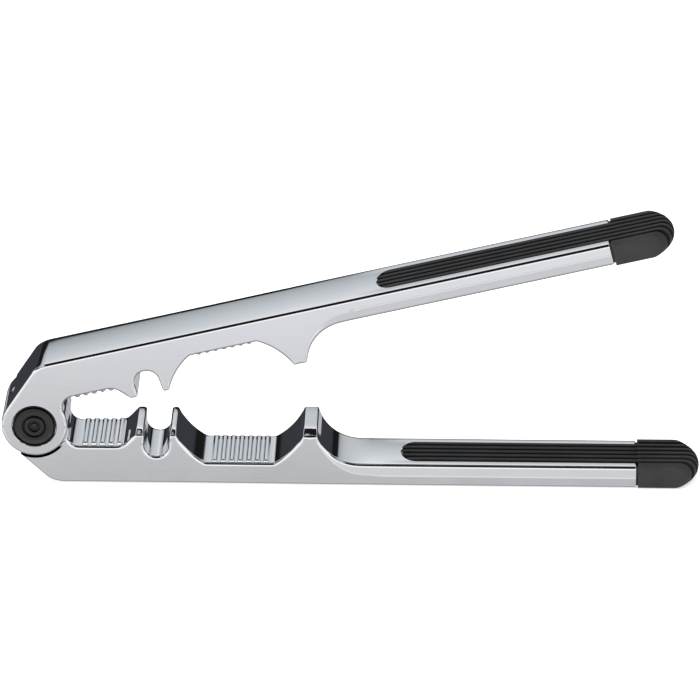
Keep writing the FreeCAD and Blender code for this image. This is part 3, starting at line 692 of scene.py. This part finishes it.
def math_node(nt, op, a, b=None):
    n = nt.nodes.new("ShaderNodeMath")
    n.operation = op
    for i, v in enumerate((a, b)):
        if v is None:
            continue
        if isinstance(v, (int, float)):
            n.inputs[i].default_value = v
        else:
            nt.links.new(v, n.inputs[i])
    return n.outputs[0]


def map_range(nt, val, a, b, c, d):
    n = nt.nodes.new("ShaderNodeMapRange")
    nt.links.new(val, n.inputs["Value"])
    for k, v in (("From Min", a), ("From Max", b), ("To Min", c), ("To Max", d)):
        n.inputs[k].default_value = v
    return n.outputs["Result"]


def bump(nt, height, strength, distance, below=None):
    n = nt.nodes.new("ShaderNodeBump")
    n.inputs["Strength"].default_value = strength
    n.inputs["Distance"].default_value = distance
    nt.links.new(height, n.inputs["Height"])
    if below is not None:
        nt.links.new(below, n.inputs["Normal"])
    return n.outputs["Normal"]


def scaled(nt, vec, sx, sy, sz):
    n = nt.nodes.new("ShaderNodeMapping")
    n.inputs["Scale"].default_value = (sx, sy, sz)
    nt.links.new(vec, n.inputs["Vector"])
    return n.outputs["Vector"]


def chrome():
    m, nt, b = mat_nodes("polished_chrome")
    tc = nt.nodes.new("ShaderNodeTexCoord")
    obj = tc.outputs["Object"]
    # faint cloudiness of the plate, in tint and in roughness
    cloud = noise(nt, obj, 55.0, 3.0)
    tint = ramp(nt, cloud, [(0.30, (0.835, 0.845, 0.862)), (0.70, (0.872, 0.878, 0.888))])
    # light handling marks: hair-fine scratches along and across the handles
    sc1 = noise(nt, scaled(nt, obj, 90.0, 2600.0, 2600.0), 1.0, 2.0, 0.5)
    fine = noise(nt, obj, 700.0, 2.0)
    marks = map_range(nt, sc1, 0.60, 0.78, 0.0, 1.0)
    rough = math_node(nt, "ADD", map_range(nt, cloud, 0.3, 0.7, 0.028, 0.050), math_node(nt, "MULTIPLY", marks, 0.035))
    rough = math_node(nt, "ADD", rough, map_range(nt, fine, 0.3, 0.7, 0.0, 0.012))
    # the plate follows the casting's very slight waviness
    wave = noise(nt, obj, 38.0, 2.0)
    n1 = bump(nt, wave, 0.015, 0.0006)
    n2 = bump(nt, sc1, 0.02, 0.00004, n1)
    # edges where handling has dulled the plate
    geo = nt.nodes.new("ShaderNodeNewGeometry")
    edge = map_range(nt, geo.outputs["Pointiness"], 0.53, 0.60, 0.0, 1.0)
    edge = math_node(nt, "MULTIPLY", edge, noise(nt, obj, 240.0, 3.0))
    rough = math_node(nt, "ADD", rough, math_node(nt, "MULTIPLY", edge, 0.05))
    nt.links.new(tint, b.inputs["Base Color"])
    nt.links.new(rough, b.inputs["Roughness"])
    nt.links.new(n2, b.inputs["Normal"])
    b.inputs["Metallic"].default_value = 1.0
    return m


def soft_plastic(name, base, rough_lo, rough_hi, grain, bump_d, spec=0.4, rings=None, pitch=None):
    m, nt, b = mat_nodes(name)
    tc = nt.nodes.new("ShaderNodeTexCoord")
    obj = tc.outputs["Object"]
    broad = noise(nt, obj, 90.0, 4.0)
    fine = noise(nt, obj, grain, 3.0, 0.6)
    lo = tuple(c * 0.80 for c in base)
    hi = tuple(c * 1.22 for c in base)
    col = ramp(nt, broad, [(0.25, lo), (0.75, hi)])
    geo = nt.nodes.new("ShaderNodeNewGeometry")
    # painted shade: grooves are darkened by their concavity; further down the crests are made a little paler, partly
    # wear and partly a painted highlight
    low = map_range(nt, geo.outputs["Pointiness"], 0.40, 0.495, 0.22, 1.0)
    dark = nt.nodes.new("ShaderNodeMix")
    dark.data_type = "RGBA"
    dark.blend_type = "MULTIPLY"
    dark.inputs["Factor"].default_value = 1.0
    nt.links.new(col, dark.inputs["A"])
    cavity_shade_grey = nt.nodes.new("ShaderNodeCombineColor")
    for k in range(3):
        nt.links.new(low, cavity_shade_grey.inputs[k])
    nt.links.new(cavity_shade_grey.outputs[0], dark.inputs["B"])
    col = dark.outputs["Result"]
    if rings is not None:
        # painted shade: darker rings round the pivot axis, laid over the cap's grooves and the slope beside them
        sep3 = nt.nodes.new("ShaderNodeSeparateXYZ")
        nt.links.new(obj, sep3.inputs[0])
        dx = math_node(nt, "SUBTRACT", sep3.outputs["X"], PIVOT.x / 1000.0)
        dz = math_node(nt, "SUBTRACT", sep3.outputs["Z"], PIVOT.z / 1000.0)
        rad = math_node(nt, "SQRT", math_node(nt, "ADD", math_node(nt, "MULTIPLY", dx, dx), math_node(nt, "MULTIPLY", dz, dz)))
        ring_shade = ramp(nt, map_range(nt, rad, 0.0, 0.0064, 0.0, 1.0), [(r / 6.4, (v, v, v)) for r, v in rings])
        ring_shade_mix = nt.nodes.new("ShaderNodeMix")
        ring_shade_mix.data_type = "RGBA"
        ring_shade_mix.blend_type = "MULTIPLY"
        ring_shade_mix.inputs["Factor"].default_value = 1.0
        nt.links.new(col, ring_shade_mix.inputs["A"])
        nt.links.new(ring_shade, ring_shade_mix.inputs["B"])
        col = ring_shade_mix.outputs["Result"]
    if pitch is not None:
        # painted shade: darker bottoms of the grooves between the ribs
        sep4 = nt.nodes.new("ShaderNodeSeparateXYZ")
        nt.links.new(obj, sep4.inputs[0])
        across = math_node(nt, "ABSOLUTE", sep4.outputs["Y"])
        part = math_node(nt, "FRACT", math_node(nt, "DIVIDE", across, pitch))
        away = math_node(nt, "ABSOLUTE", math_node(nt, "SUBTRACT", part, 0.5))
        shade = map_range(nt, away, 0.42 / 2.55, 0.86 / 2.55, 0.08, 1.0)
        shade = math_node(nt, "MAXIMUM", shade, map_range(nt, across, 0.0076, 0.0079, 0.0, 1.0))
        rib_groove_shade_mix = nt.nodes.new("ShaderNodeMix")
        rib_groove_shade_mix.data_type = "RGBA"
        rib_groove_shade_mix.blend_type = "MULTIPLY"
        rib_groove_shade_mix.inputs["Factor"].default_value = 1.0
        nt.links.new(col, rib_groove_shade_mix.inputs["A"])
        rib_groove_shade_grey = nt.nodes.new("ShaderNodeCombineColor")
        for k in range(3):
            nt.links.new(shade, rib_groove_shade_grey.inputs[k])
        nt.links.new(rib_groove_shade_grey.outputs[0], rib_groove_shade_mix.inputs["B"])
        col = rib_groove_shade_mix.outputs["Result"]
    # paler crests and edges: partly wear, partly a painted highlight on convex edges
    edge = map_range(nt, geo.outputs["Pointiness"], 0.51, 0.60, 0.0, 1.0)
    mix = nt.nodes.new("ShaderNodeMix")
    mix.data_type = "RGBA"
    worn_and_highlight = math_node(nt, "MULTIPLY", edge, map_range(nt, noise(nt, obj, 400.0, 3.0), 0.3, 0.7, 0.45, 1.0))
    if pitch is not None:
        worn_and_highlight = math_node(nt, "MULTIPLY", worn_and_highlight, shade)
    nt.links.new(worn_and_highlight, mix.inputs["Factor"])
    nt.links.new(col, mix.inputs["A"])
    rub_and_highlight = 2.6 if pitch is None else 1.35
    mix.inputs["B"].default_value = (base[0] * rub_and_highlight, base[1] * rub_and_highlight, base[2] * rub_and_highlight, 1)
    nt.links.new(mix.outputs["Result"], b.inputs["Base Color"])
    nt.links.new(map_range(nt, fine, 0.3, 0.7, rough_lo, rough_hi), b.inputs["Roughness"])
    n1 = bump(nt, fine, 0.35, bump_d)
    n2 = bump(nt, broad, 0.15, bump_d * 3, n1)
    nt.links.new(n2, b.inputs["Normal"])
    b.inputs["Specular IOR Level"].default_value = spec
    return m


def turned_steel():
    m, nt, b = mat_nodes("hinge_steel")
    tc = nt.nodes.new("ShaderNodeTexCoord")
    obj = tc.outputs["Object"]
    fine = noise(nt, scaled(nt, obj, 300.0, 3000.0, 300.0), 1.0, 3.0)
    nt.links.new(ramp(nt, fine, [(0.3, (0.42, 0.42, 0.43)), (0.7, (0.60, 0.60, 0.61))]), b.inputs["Base Color"])
    nt.links.new(map_range(nt, fine, 0.3, 0.7, 0.24, 0.38), b.inputs["Roughness"])
    nt.links.new(bump(nt, fine, 0.2, 0.00003), b.inputs["Normal"])
    b.inputs["Metallic"].default_value = 1.0
    return m


M_CHROME = chrome()
# grip_plastic: pitch paints shade into the grooves between the ribs
M_GRIP = soft_plastic("grip_plastic", (0.0340, 0.0340, 0.0355), 0.38, 0.50, 2600.0, 0.00004, 0.12, pitch=0.00255)
# cap_plastic: the rings list paints shade into the cap's grooves
M_CAP = soft_plastic("cap_plastic", (0.0105, 0.0105, 0.0111), 0.20, 0.28, 3200.0, 0.00002, 0.50,
                     rings=[(0.0, 0.7), (1.0, 0.6), (1.15, 0.15), (1.6, 0.15), (1.75, 0.7), (2.8, 0.7), (3.0, 0.15),
                            (3.35, 0.12), (3.5, 0.45), (4.3, 1.0), (5.5, 1.0), (5.62, 0.08), (6.2, 0.10)])
M_SLIDE = soft_plastic("slide_plastic", (0.045, 0.045, 0.048), 0.40, 0.55, 2500.0, 0.00003)
M_STEEL = turned_steel()


def place(work, name, matrix, body, node, material, sharp=30.0, weighted=True):
    me = work.data.copy()
    me.name = name
    me.transform(MM @ matrix)
    me.materials.clear()
    me.materials.append(material)
    for p in me.polygons:
        p.material_index = 0
    set_sharp(me, sharp)
    ob = bpy.data.objects.new(name, me)
    COLL.objects.link(ob)
    if weighted:
        wn = ob.modifiers.new("shade", "WEIGHTED_NORMAL")
        wn.mode = "FACE_AREA"
        wn.keep_sharp = True
        wn.weight = 50
    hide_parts(node)
    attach(ob, body)
    return ob


def drop(work):
    me = work.data
    bpy.data.objects.remove(work)
    bpy.data.meshes.remove(me)


casting = build_casting()
place(casting, "upper_lever_chrome", TO_UPPER, "upper", "upper_lever", M_CHROME)
place(casting, "lower_lever_chrome", TO_LOWER, "lower", "lower_lever", M_CHROME)
drop(casting)

grip = build_grip()
place(grip, "upper_grip_moulding", TO_UPPER, "upper", "upper_grip", M_GRIP, 40.0)
place(grip, "lower_grip_moulding", TO_LOWER, "lower", "lower_grip", M_GRIP, 40.0)
drop(grip)

cap = new_object("cap_work", build_pivot_cap())
FRONT = Matrix.Translation(PIVOT + Vector((0, -HALF, 0)))
BACK = Matrix.Translation(PIVOT + Vector((0, HALF, 0))) @ Matrix.Rotation(math.pi, 4, "Z")
place(cap, "front_pivot_cap_turned", FRONT, "upper", "front_pivot_cap", M_CAP, 50.0)
place(cap, "back_pivot_cap_turned", BACK, "lower", "back_pivot_cap", M_CAP, 50.0)
drop(cap)

for n, m in (("pivot_barrel", M_STEEL), ("pivot_screw", M_STEEL), ("front_spring_washer", M_STEEL),
             ("back_spring_washer", M_STEEL), ("front_slide_washer", M_SLIDE), ("middle_slide_washer", M_SLIDE),
             ("back_slide_washer", M_SLIDE)):
    o = NODES[n]
    if not o.material_slots:
        o.data.materials.append(m)
    for s in o.material_slots:
        s.material = m

# ---------------------------------------------------------------- stage
bm = bmesh.new()
bmesh.ops.create_grid(bm, x_segments=1, y_segments=1, size=4.0)
floor = new_object("floor", bm)
floor.location = (0, 0, -0.0002)
fm, nt, b = mat_nodes("floor_white")
b.inputs["Base Color"].default_value = (0.93, 0.93, 0.93, 1)
b.inputs["Roughness"].default_value = 0.9
b.inputs["Specular IOR Level"].default_value = 0.1
b.inputs["Emission Color"].default_value = (1.0, 1.0, 1.0, 1)
b.inputs["Emission Strength"].default_value = 0.55
floor.data.materials.append(fm)
floor.visible_glossy = False

# light all round as a smooth gradient of soft boxes with dark gaps between them
world = bpy.data.worlds.new("studio")
bpy.context.scene.world = world
world.use_nodes = True
wt = world.node_tree
for n in list(wt.nodes):
    wt.nodes.remove(n)
wout = wt.nodes.new("ShaderNodeOutputWorld")
bg = wt.nodes.new("ShaderNodeBackground")
wtc = wt.nodes.new("ShaderNodeTexCoord")
sep = wt.nodes.new("ShaderNodeSeparateXYZ")
wt.links.new(wtc.outputs["Generated"], sep.inputs[0])
elev = math_node(wt, "MULTIPLY", math_node(wt, "ARCSINE", sep.outputs["Z"]), 180.0 / math.pi)
azim = math_node(wt, "MULTIPLY", math_node(wt, "ARCTAN2", sep.outputs["X"], sep.outputs["Y"]), 180.0 / math.pi)


def el_ramp(angle, lo, hi, stops):
    """Radiance by angle, given as (degrees, value) or (degrees, value, blueness)."""
    t = map_range(wt, angle, lo, hi, 0.0, 1.0)
    out = []
    for st in stops:
        e, v = st[0], st[1]
        c = st[2] if len(st) > 2 else 1.0
        col = tuple(v * k for k in c) if isinstance(c, tuple) else (v / (1 + 0.35 * (c - 1)), v, v * c)
        out.append(((e - lo) / (hi - lo), col))
    return ramp(wt, t, out)


# behind the tool: floor, a dark gap, then a soft box whose light grows upwards;
# the box hangs askew, by an amount that changes round the horizon
hang = [(-30, 6.0), (-22, 5.0), (-18, 3.2), (-15.4, 2.8), (-14.7, 3.1), (-13.6, 3.3), (-10.5, 3.35), (-6, 1.0),
        (-4, 0.0), (-1.5, -1.4), (5, -1.4), (12, 0.5), (17, 3.0), (22, 6.0), (30, 6.0)]
tilt = ramp(wt, map_range(wt, azim, -30.0, 30.0, 0.0, 1.0),
            [((d + 30.0) / 60.0, ((o + 10.0) / 20.0,) * 3) for d, o in hang])
tilt = map_range(wt, tilt, 0.0, 1.0, -10.0, 10.0)
tilt = math_node(wt, "MULTIPLY", tilt, map_range(wt, elev, -8.0, 6.0, 0.0, 1.0))
skew = math_node(wt, "ADD", elev, tilt)
PALE = (0.945, 1.0, 1.04)
back = el_ramp(skew, -24.0, 40.0, [
    (-24, 0.52, 1.03), (-16, 0.50, 1.03), (-15.2, 0.043, 1.18), (10, 0.043, 1.18), (13, 0.010),
    (19.2, 0.010), (19.9, 0.20, PALE), (20.3, 0.36, PALE), (21, 0.44, PALE), (22.3, 0.53, PALE), (23.6, 0.605, PALE),
    (25.3, 0.69, PALE), (27.8, 0.84, 1.03), (28.8, 0.885, 1.02), (30, 0.96), (31.6, 0.98), (32.8, 0.02), (40, 0.012)])
# behind on the left the floor lies in shadow
shadow = math_node(wt, "MULTIPLY", map_range(wt, azim, -12.6, -14.6, 0.0, 1.0), map_range(wt, elev, -15.0, -17.0, 0.0, 1.0))
shadow = math_node(wt, "MULTIPLY", shadow, map_range(wt, azim, -17.6, -16.6, 0.0, 1.0))
shaded = wt.nodes.new("ShaderNodeMix")
shaded.data_type = "RGBA"
wt.links.new(shadow, shaded.inputs["Factor"])
wt.links.new(back, shaded.inputs["A"])
shaded.inputs["B"].default_value = (0.02, 0.021, 0.022, 1)
back = shaded.outputs["Result"]
# in front of it: the floor, brightening away from the tool, and a large white wall
front_low = el_ramp(elev, -60.0, -10.0, [
    (-60, 0.32), (-45, 0.50), (-38, 0.665, 1.03), (-34, 0.69, 1.03), (-32.7, 0.72, 1.03), (-31, 0.90), (-29, 0.98),
    (-28, 0.85), (-27, 0.55, 1.03), (-26.25, 0.505, 1.03), (-26.0, 0.57, 1.03), (-25.8, 0.60, 1.03),
    (-25.1, 0.71, 1.03), (-24.7, 0.79, 1.04), (-24.0, 0.845, 1.04), (-21, 0.85, 1.03), (-19, 0.80, 1.03),
    (-16, 0.72, 1.03), (-11.6, 0.70, 1.03), (-10, 0.95)])
front_high = el_ramp(elev, -10.0, 60.0, [(-10, 1.0), (0, 1.05), (30.0, 1.08), (32.5, 0.015), (60, 0.012)])
up_mix = wt.nodes.new("ShaderNodeMix")
up_mix.data_type = "RGBA"
wt.links.new(map_range(wt, elev, -10.5, -9.5, 0.0, 1.0), up_mix.inputs["Factor"])
wt.links.new(front_low, up_mix.inputs["A"])
wt.links.new(front_high, up_mix.inputs["B"])
hor = math_node(wt, "SQRT", math_node(wt, "SUBTRACT", 1.0001, math_node(wt, "MULTIPLY", sep.outputs["Z"], sep.outputs["Z"])))
head = math_node(wt, "DIVIDE", sep.outputs["Y"], hor)
hm = map_range(wt, head, -0.35, 0.35, 0.0, 1.0)
mixw = wt.nodes.new("ShaderNodeMix")
mixw.data_type = "RGBA"
wt.links.new(hm, mixw.inputs["Factor"])
wt.links.new(up_mix.outputs["Result"], mixw.inputs["A"])
wt.links.new(back, mixw.inputs["B"])
# soft boxes high up on both sides
side_l = math_node(wt, "MULTIPLY", map_range(wt, sep.outputs["X"], -0.44, -0.50, 0.0, 1.0), map_range(wt, elev, 38.0, 48.0, 0.0, 1.0))
side_r = math_node(wt, "MULTIPLY", map_range(wt, sep.outputs["X"], 0.40, 0.52, 0.0, 1.0), map_range(wt, elev, 38.0, 48.0, 0.0, 1.0))
sides = math_node(wt, "MULTIPLY", math_node(wt, "ADD", side_l, side_r), 0.75)
sidec = wt.nodes.new("ShaderNodeMix")
sidec.data_type = "RGBA"
wt.links.new(sides, sidec.inputs["Factor"])
wt.links.new(mixw.outputs["Result"], sidec.inputs["A"])
sidec.inputs["B"].default_value = (1.0, 1.0, 1.0, 1)
lp = wt.nodes.new("ShaderNodeLightPath")
mixc = wt.nodes.new("ShaderNodeMix")
mixc.data_type = "RGBA"
wt.links.new(lp.outputs["Is Camera Ray"], mixc.inputs["Factor"])
wt.links.new(sidec.outputs["Result"], mixc.inputs["A"])
mixc.inputs["B"].default_value = (1.0, 1.0, 1.0, 1)
wt.links.new(mixc.outputs["Result"], bg.inputs["Color"])
bg.inputs["Strength"].default_value = 1.0
wt.links.new(bg.outputs[0], wout.inputs[0])


def area(name, loc, target, size, power, glossy=False):
    l = bpy.data.lights.new(name, "AREA")
    l.shape = "RECTANGLE"
    l.size, l.size_y = size
    l.energy = power
    o = bpy.data.objects.new(name, l)
    COLL.objects.link(o)
    o.location = loc
    o.rotation_euler = (Vector(target) - Vector(loc)).to_track_quat("-Z", "Y").to_euler()
    o.visible_camera = False
    o.visible_glossy = glossy
    return o


area("overhead", (0.0, 0.1, 1.6), (0, 0, 0), (3.0, 3.0), 34.0)
area("key", (-0.7, -0.6, 1.0), (0, 0, 0.02), (0.9, 0.9), 7.0)

# ---------------------------------------------------------------- camera
AZ, EL, DIST = math.radians(1.3), math.radians(24.8), 1.581
target = Vector((-0.0004, 0.0, 0.0386))
cam_data = bpy.data.cameras.new("camera")
cam_data.sensor_width = 36.0
cam_data.lens = 284.7
cam_data.clip_start = 0.05
cam_data.clip_end = 30.0
cam = bpy.data.objects.new("camera", cam_data)
COLL.objects.link(cam)
cam.location = target + DIST * Vector((math.sin(AZ) * math.cos(EL), -math.cos(AZ) * math.cos(EL), math.sin(EL)))
cam.rotation_euler = (target - cam.location).to_track_quat("-Z", "Y").to_euler()
bpy.context.scene.camera = cam

bpy.context.scene.view_settings.view_transform = "Standard"
bpy.context.scene.view_settings.look = "None"

bpy.context.view_layer.update()
